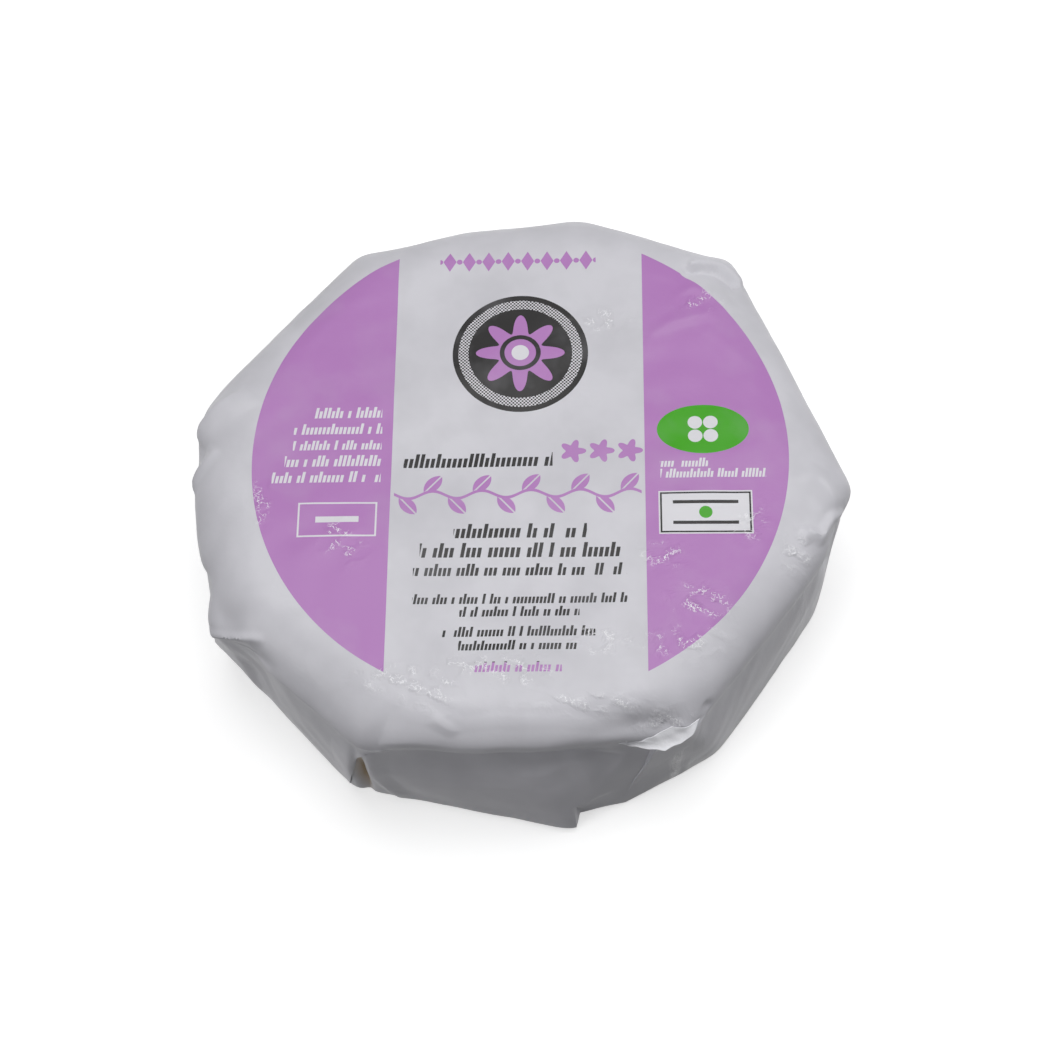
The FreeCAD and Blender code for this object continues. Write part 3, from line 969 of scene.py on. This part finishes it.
@dataclass
class PaperWrap:
    """The wrapping paper in one closed piece: label, shoulder, wall, foot and the folds below."""

    form: WrapForm
    label: LabelPrint
    eighth: int = 80
    shoulder_rings: int = 32
    wall_rings: int = 52
    foot_rings: int = 5
    fold_rings: int = 24
    middle_gap: float = 1.2
    crumples: tuple[Crumple, ...] = CRUMPLES
    clumps: Swell = Swell(1.0, 3.2, 14, SEED + 9)
    handling: Swell = Swell(1.0, 14.0, 9, SEED + 11)
    handling_share: float = 0.10
    clump_range: tuple[float, float] = (-0.5, 0.5)
    handling_range: tuple[float, float] = (-0.4, 1.0)
    # Where painted shade and the rind's tan fill the open corner's crevice.
    crevice_shade_and_rind_spots: tuple[Hollow, ...] = (Hollow(-118.2, 25.0, 1.8, 0.75, 6.5),)
    top_map_span: float = 172.0
    top_map_middle: float = 88.0
    low_map_span: float = 330.0
    low_map_inset: float = 56.0

    def top_grid(self) -> tuple[Array, Array, Array, Array]:
        """The flat top as a square grid drawn out to a disc.

        A grid point's share of the way out is the larger of its two coordinates, and its bearing
        runs evenly along the square's side, 45 degrees to each half side.

        Returns:
            Bearing and share of the way out for each point, the quads, and the rim's points in
            order of bearing.
        """
        n = self.eighth
        j, i = np.meshgrid(np.arange(-n, n + 1), np.arange(-n, n + 1))
        i, j = i.ravel().astype(float), j.ravel().astype(float)
        out = np.maximum(np.abs(i), np.abs(j))
        wide = np.abs(i) >= np.abs(j)
        safe_i, safe_j = np.where(i == 0, 1.0, i), np.where(j == 0, 1.0, j)
        bearing = np.where(wide, 45.0 * j / safe_i + np.where(i < 0, 180.0, 0.0),
                           90.0 - 45.0 * i / safe_j + np.where(j < 0, 180.0, 0.0))
        numbers = np.arange((2 * n + 1) ** 2).reshape(2 * n + 1, 2 * n + 1)
        quads = np.stack([numbers[:-1, :-1], numbers[1:, :-1], numbers[1:, 1:], numbers[:-1, 1:]], axis=-1)
        rim = np.flatnonzero(out == n)
        rim = rim[np.argsort(bearing[rim] % 360.0, kind="stable")]
        return bearing, out / n, quads.reshape(-1, 4), rim

    def stations(self) -> Array:
        """How far down the paper each ring of the sides and the underside lies."""
        form = self.form
        shoulder = np.linspace(0.0, form.shoulder_run, self.shoulder_rings + 1)[1:]
        wall = form.shoulder_run + np.linspace(0.0, form.wall_run, self.wall_rings + 1)[1:]
        foot = form.shoulder_run + form.wall_run + np.linspace(0.0, form.foot_run, self.foot_rings + 1)[1:]
        return np.concatenate([shoulder, wall, foot])

    def build(self, material: bpy.types.Material) -> bpy.types.Object:
        """Builds the piece: the top's grid, then rings down the sides and in under the cheese."""
        form = self.form
        bearing, share, quads, rim = self.top_grid()
        top_down = -form.flat_edge(bearing) * (1.0 - share)
        count = len(rim)
        rim_bearing = bearing[rim] % 360.0
        downs = self.stations()
        side_bearing, side_down = np.meshgrid(rim_bearing, downs)
        floor_reach = form.plain(rim_bearing, np.full(count, form.rest_run))[0]
        share_in = np.linspace(0.0, 1.0, self.fold_rings + 1)[1:, None]
        inward = share_in * (floor_reach - self.middle_gap)[None]
        under_bearing = np.broadcast_to(rim_bearing, inward.shape)
        all_bearing = np.concatenate([bearing, side_bearing.ravel(), under_bearing.ravel(), [0.0]])
        all_down = np.concatenate([top_down, side_down.ravel(), (form.rest_run + inward).ravel(), [0.0]])
        points = form.points(all_bearing, all_down)
        first = len(bearing)
        last_ring = points[-1 - count:-1]
        points[-1] = last_ring.mean(axis=0)

        rings = len(downs) + self.fold_rings
        numbers = np.concatenate([rim[None], first + np.arange(rings * count).reshape(rings, count)])
        following = np.roll(numbers, -1, axis=1)
        sides = np.stack([numbers[:-1], numbers[1:], following[1:], following[:-1]], axis=-1).reshape(-1, 4)
        middle = np.full(count, len(points) - 1)
        fan = np.stack([numbers[-1], middle, following[-1]], axis=-1)
        piece = make_piece("paper_wrap", points, np.concatenate([quads, sides]), fan, material)
        self.mark(piece, points, all_bearing, all_down)
        self.map_out(piece, all_bearing, all_down, len(quads), len(sides), count)
        return piece

    def mark(self, piece: bpy.types.Object, points: Array, bearing: Array, down: Array) -> None:
        """Stores where the paper is crumpled, and where painted shade, in the tan of the rind, darkens the
        open corner's crevice.
        """
        x, y = points[:, 0] - self.label.centre[0], points[:, 1] - self.label.centre[1]
        crumple = np.zeros(len(points))
        for c in self.crumples:
            patch = np.exp(-((x - c.x) / c.half_width) ** 2 - ((y - c.y) / c.half_height) ** 2)
            crumple = np.maximum(crumple, patch)
        crumple *= smooth_step(self.clumps.lift(x, y), *self.clump_range)
        crumple += self.handling_share * smooth_step(self.handling.lift(x, y), *self.handling_range)
        set_attribute(piece, "crumple", crumple * (down < self.form.rest_run))
        crevice_shade_and_rind = np.zeros(len(points))
        for spot in self.crevice_shade_and_rind_spots:
            crevice_shade_and_rind = np.maximum(crevice_shade_and_rind, spot.sink(bearing, down, self.form.wheel_radius))
        set_attribute(piece, "crevice_shade_and_rind", np.clip(crevice_shade_and_rind, 0.0, 1.0))

    def map_out(self, piece: bpy.types.Object, bearing: Array, down: Array, top_quads: int,
                side_quads: int, count: int) -> None:
        """Lays the paper out flat for its map: the label and the wall as one disc, the folds as another.

        A point lies at its own bearing, as far from the disc's middle as it is along the paper.
        """
        form = self.form
        edge = form.flat_edge(bearing)
        angle = np.radians(bearing)
        top_out = edge + down
        low_out = np.maximum(edge + form.shoulder_reach - (down - form.rest_run), 0.0)
        low_out[-1] = 0.0
        spread = np.stack([np.cos(angle), np.sin(angle)], axis=1)
        top_map = (self.top_map_middle + spread * top_out[:, None]) / self.top_map_span
        low_map = 1.0 + (spread * low_out[:, None] - self.low_map_inset) / self.low_map_span
        corners = corner_vertices(piece)
        folded = np.zeros(len(corners), bool)
        under_quads = self.fold_rings * count
        folded[4 * (top_quads + side_quads - under_quads):] = True
        set_bake_map(piece, np.where(folded[:, None], low_map[corners], top_map[corners]))


def close_sheet(name: str, outer: Array, inner: Array, shape: tuple[int, int], material: bpy.types.Material,
                crumple: float) -> bpy.types.Object:
    """Makes a thin closed sheet from the grid of its outer face and the grid of its inner one.

    Args:
        name: the piece's name.
        outer: the outer face's points, row by row, in millimetres.
        inner: the inner face's points in the same order.
        shape: how many rows and columns the grids have.
        material: its finish.
        crumple: how crumpled the sheet's paper is, from 0 to 1.
    Returns:
        The piece, with its faces outwards.
    """
    m, n = shape
    top = np.arange(m * n).reshape(m, n)
    quads = np.stack([top[:-1, :-1], top[1:, :-1], top[1:, 1:], top[:-1, 1:]], axis=-1).reshape(-1, 4)
    backs = (quads + m * n)[:, ::-1]
    loop = np.concatenate([top[0, :-1], top[:-1, -1], top[-1, :0:-1], top[:0:-1, 0]])
    rim = np.stack([loop, np.roll(loop, -1), np.roll(loop, -1) + m * n, loop + m * n], axis=-1)
    faces = np.concatenate([quads, backs, rim])
    a, b, c = outer[quads[:, 0]], outer[quads[:, 1]], outer[quads[:, 2]]
    if (np.cross(b - a, c - a) * (outer - inner)[quads[:, 0]]).sum() < 0.0:
        faces = faces[:, ::-1]
    points = np.concatenate([outer, inner])
    piece = make_piece(name, points, faces, np.zeros((0, 3), int), material)
    set_attribute(piece, "crevice_shade_and_rind", np.zeros(len(points)))
    set_attribute(piece, "crumple", np.full(len(points), crumple))
    return piece


@dataclass
class Lap:
    """A free edge of the paper that lies over the paper below it.

    It is a thin closed sheet. Its free edge is given by points, each with a bearing, a way down the
    paper and a stand-off. Across it, from that edge to the line where it sinks into the wrap, its
    height over the paper falls from the stand-off to a little below the surface. A filled lap is
    folded double, and its underside reaches down into the wrap.
    """

    name: str
    edge: tuple[tuple[float, float, float], ...]
    cover: tuple[float, float]
    fall_power: float = 1.6
    thickness: float = 0.1
    sink: float = 0.35
    filled: bool = False
    taper_power: float = 0.4
    smoothings: int = 3
    steps_along: int = 120
    steps_across: int = 30

    def build(self, form: WrapForm, material: bpy.types.Material) -> bpy.types.Object:
        """Builds the sheet over a form's surface and returns its piece."""
        given = np.array(self.edge)
        steps = np.hypot(np.radians(np.diff(given[:, 0])) * form.wheel_radius, np.diff(given[:, 1]))
        along = np.concatenate([[0.0], np.cumsum(steps)]) / steps.sum()
        s = np.linspace(0.0, 1.0, self.steps_along)
        v = np.linspace(0.0, 1.0, self.steps_across)[None]
        edge = np.stack([np.interp(s, along, given[:, i]) for i in range(3)])
        # Neighbouring points are averaged, with the binomial weights of five.
        kernel = np.array([1, 4, 6, 4, 1]) / 16.0
        for _ in range(self.smoothings):
            edge[:, 2:-2] = np.stack([np.convolve(line, kernel, "valid") for line in edge])
        taper = np.sin(np.pi * s)[:, None] ** self.taper_power
        degrees = np.degrees(self.cover[0] / form.wheel_radius)
        bearing = edge[0][:, None] + v * degrees * taper
        down = np.clip(edge[1][:, None] + v * self.cover[1] * taper, 0.0, form.rest_run - self.sink)
        lift = (edge[2][:, None] + self.sink) * (1.0 - v) ** self.fall_power * taper - self.sink
        outer = form.points(bearing.ravel(), down.ravel(), lift.ravel())
        below = np.minimum(lift, 0.0) - self.sink if self.filled else lift
        inner = form.points(bearing.ravel(), down.ravel(), below.ravel() - self.thickness)
        return close_sheet(self.name, outer, inner, bearing.shape, material, 0.0)


# The free edges that show in front, and two more behind.
LAPS = (
    Lap("front_lap", ((-54.5, 9.0, 0.0), (-56.7, 10.8, 0.2), (-60.2, 11.4, 1.25), (-63.8, 11.9, 2.1),
                      (-64.8, 16.5, 1.0), (-66.6, 23.0, 0.3), (-69.7, 29.8, 0.15), (-72.5, 33.6, 0.1)),
        (13.0, 0.0), filled=True),
    Lap("back_lap", ((75.0, 8.5, 0.0), (77.5, 11.5, 0.5), (81.0, 17.0, 0.5), (85.0, 24.0, 0.35),
                     (89.5, 31.0, 0.25), (92.0, 34.0, 0.1)), (-12.0, 0.0), filled=True),
    Lap("far_left_lap", ((163.0, 9.5, 0.0), (161.0, 12.0, 0.5), (157.5, 18.0, 0.45), (154.0, 25.5, 0.3),
                         (150.0, 33.8, 0.1)), (12.0, 0.0), filled=True),
    Lap("open_corner_lap", ((-121.8, 34.6, 0.7), (-120.4, 29.0, 0.7), (-119.1, 23.0, 0.75),
                            (-118.5, 18.9, 0.75), (-117.5, 16.4, 0.6), (-115.8, 14.0, 0.5),
                            (-112.5, 12.0, 0.4), (-107.0, 11.6, 0.2)), (-9.0, -4.0)),
)


@dataclass
class FoldedTip:
    """A small tip of folded paper between four corners, each with a bearing, a way down and a stand-off.

    Between its corners it follows the wrap, and its stand-off runs evenly.
    """

    name: str
    corners: tuple[tuple[float, float, float], ...]
    wrinkle: Swell = Swell(0.08, 2.4, 10, SEED + 5)
    thickness: float = 0.12
    crumple: float = 0.3
    steps: int = 32

    def build(self, form: WrapForm, material: bpy.types.Material) -> bpy.types.Object:
        """Builds the tip, faintly wrinkled, over a form's surface and returns its piece."""
        start, back, far, front = np.array(self.corners)
        s, v = (g.ravel()[:, None] for g in np.meshgrid(*[np.linspace(0.0, 1.0, self.steps)] * 2,
                                                        indexing="ij"))
        bearing, down, lift = ((1 - s) * ((1 - v) * start + v * back) + s * ((1 - v) * front + v * far)).T
        lift = lift + self.wrinkle.lift(np.radians(bearing) * form.wheel_radius, down)
        outer = form.points(bearing, down, lift)
        inner = form.points(bearing, down, lift - self.thickness)
        return close_sheet(self.name, outer, inner, (self.steps, self.steps), material, self.crumple)


# It stands out over the lapped corner at the front right.
TIP = FoldedTip("folded_tip", ((-70.6, 13.6, 0.1), (-61.2, 9.0, 0.25), (-56.2, 10.3, 0.2),
                               (-63.9, 11.8, 2.3)))


# ---------------------------------------------------------------- studio

def direction(bearing: float, elevation: float) -> Vector:
    """The direction out to a bearing, which runs from the front towards +X, and an elevation."""
    b, e = math.radians(bearing), math.radians(elevation)
    return Vector((math.sin(b) * math.cos(e), -math.cos(b) * math.cos(e), math.sin(e)))


@dataclass(frozen=True)
class SoftBox:
    """A square soft box that hangs at a bearing, elevation and distance, and looks at the pack."""

    name: str
    bearing: float
    elevation: float
    distance: float
    size: float
    power: float

    def hang(self) -> None:
        """Hangs the lamp."""
        back = direction(self.bearing, self.elevation)
        data = bpy.data.lights.new(self.name, "AREA")
        data.shape, data.size, data.energy = "SQUARE", self.size * MM, self.power
        lamp = bpy.data.objects.new(self.name, data)
        lamp.rotation_mode = "QUATERNION"
        lamp.rotation_quaternion = back.to_track_quat("Z", "Y")
        lamp.location = back * self.distance * MM
        bpy.context.scene.collection.objects.link(lamp)


@dataclass
class Studio:
    """A pale floor, soft light from above and behind, and the camera."""

    lens: float = 80.73
    sensor: float = 36.0
    distance: float = 387.7
    camera_bearing: float = 5.04
    camera_elevation: float = 62.87
    camera_roll: float = -5.1
    target: tuple[float, float, float] = (0.96, -10.58, 30.0)
    floor_half: float = 3000.0
    near_clip: float = 10.0
    far_clip: float = 20000.0
    floor_grey: str = "#3e3f41"
    floor_white: str = "#cfcfcf"
    floor_glow: float = 0.6
    world_dim: str = "#e9ebee"
    world_strength: float = 0.112
    soft_boxes: tuple[SoftBox, ...] = (
        SoftBox("overhead_box", 192.0, 80.0, 900.0, 560.0, 4.35),
        SoftBox("back_box", 112.0, 36.0, 900.0, 500.0, 2.7),
        SoftBox("left_fill", -52.0, 38.0, 900.0, 500.0, 1.75),
    )

    def camera(self) -> None:
        """Sets the camera at its bearing, elevation, distance and roll about the target."""
        a, r = math.radians(self.camera_bearing), math.radians(self.camera_roll)
        back = direction(self.camera_bearing, self.camera_elevation)
        level = Vector((math.cos(a), math.sin(a), 0.0))
        upright = back.cross(level)
        right = level * math.cos(r) + upright * math.sin(r)
        up = upright * math.cos(r) - level * math.sin(r)
        data = bpy.data.cameras.new("camera")
        data.lens, data.sensor_width, data.sensor_fit = self.lens, self.sensor, "AUTO"
        data.clip_start, data.clip_end = self.near_clip * MM, self.far_clip * MM
        camera = bpy.data.objects.new("camera", data)
        turned = Matrix((right, up, back)).transposed().to_4x4()
        turned.translation = (Vector(self.target) + back * self.distance) * MM
        camera.matrix_world = turned
        bpy.context.scene.collection.objects.link(camera)
        bpy.context.scene.camera = camera

    def seen(self, tree: bpy.types.NodeTree) -> bpy.types.Node:
        """1 for what the camera sees straight, in a reflection or through glass, and 0 for lighting."""
        path = add_node(tree, "ShaderNodeLightPath").outputs
        mirrored = add_node(tree, MATH, (path["Is Camera Ray"], path["Is Glossy Ray"]), operation="MAXIMUM")
        return add_node(tree, MATH, (mirrored, path["Is Transmission Ray"]), operation="MAXIMUM")

    def floor(self) -> None:
        """Lays the floor: white to the eye, with the pack's shadow, and grey in the light it throws back."""
        half = self.floor_half * MM
        mesh = bpy.data.meshes.new("floor")
        mesh.from_pydata([(-half, -half, 0.0), (half, -half, 0.0), (half, half, 0.0), (-half, half, 0.0)],
                         [], [(0, 1, 2, 3)])
        floor = bpy.data.objects.new("floor", mesh)
        bpy.context.scene.collection.objects.link(floor)
        # Matt studio card: it throws back little light, and shows white.
        made = bpy.data.materials.new("matt studio card")
        made.use_nodes = True
        tree = made.node_tree
        tree.nodes.clear()
        grey = add_node(tree, "ShaderNodeBsdfDiffuse", {"Color": linear(self.floor_grey)})
        white = add_node(tree, "ShaderNodeBsdfDiffuse", {"Color": linear(self.floor_white)})
        glow = add_node(tree, "ShaderNodeEmission", {
            "Color": linear("#ffffff"), "Strength": self.floor_glow})
        bright = add_node(tree, "ShaderNodeAddShader", (white, glow))
        mixed = add_node(tree, "ShaderNodeMixShader", (self.seen(tree), grey, bright))
        add_node(tree, "ShaderNodeOutputMaterial", {"Surface": mixed})
        mesh.materials.append(made)

    def world(self) -> None:
        """Gives the surroundings: white to the eye and dim in their light."""
        world = bpy.data.worlds.new("studio")
        world.use_nodes = True
        bpy.context.scene.world = world
        tree = world.node_tree
        tree.nodes.clear()
        dim = add_node(tree, "ShaderNodeBackground", {
            "Color": linear(self.world_dim), "Strength": self.world_strength})
        white = add_node(tree, "ShaderNodeBackground", {"Color": linear("#ffffff"), "Strength": 1.0})
        mixed = add_node(tree, "ShaderNodeMixShader", (self.seen(tree), dim, white))
        add_node(tree, "ShaderNodeOutputWorld", {"Surface": mixed})

    def build(self) -> None:
        """Sets everything up, with colours rendered as they are written."""
        bpy.context.scene.view_settings.view_transform = "Standard"
        self.camera()
        self.floor()
        self.world()
        for box in self.soft_boxes:
            box.hang()


def main() -> None:
    """Builds the pack and its studio, piece by piece."""
    logging.basicConfig(level=logging.INFO, format="%(message)s")
    form, label = WrapForm(), LabelPrint()
    wrap = PaperWrap(form, label)
    # Coated cheese paper, printed: a soft satin gloss over flat inks.
    printed = CoatedPaper().material("coated cheese paper, printed", label)
    piece = wrap.build(printed)
    LOG.info("%s: %d faces", piece.name, len(piece.data.polygons))
    # The same paper, bare.
    bare = CoatedPaper().material("coated cheese paper, bare", None)
    # The paper's waxed back, which a folded tip turns outwards: lighter than the front, partly as a painted
    # highlight.
    back = CoatedPaper(colour="#e6e6ea", damp_colour="#dedee3").material("waxed paper back, with painted highlight", None)
    for lap in LAPS:
        LOG.info("%s: %d faces", lap.name, len(lap.build(form, bare).data.polygons))
    LOG.info("%s: %d faces", TIP.name, len(TIP.build(form, back).data.polygons))
    Studio().build()


if __name__ == "__main__":
    main()
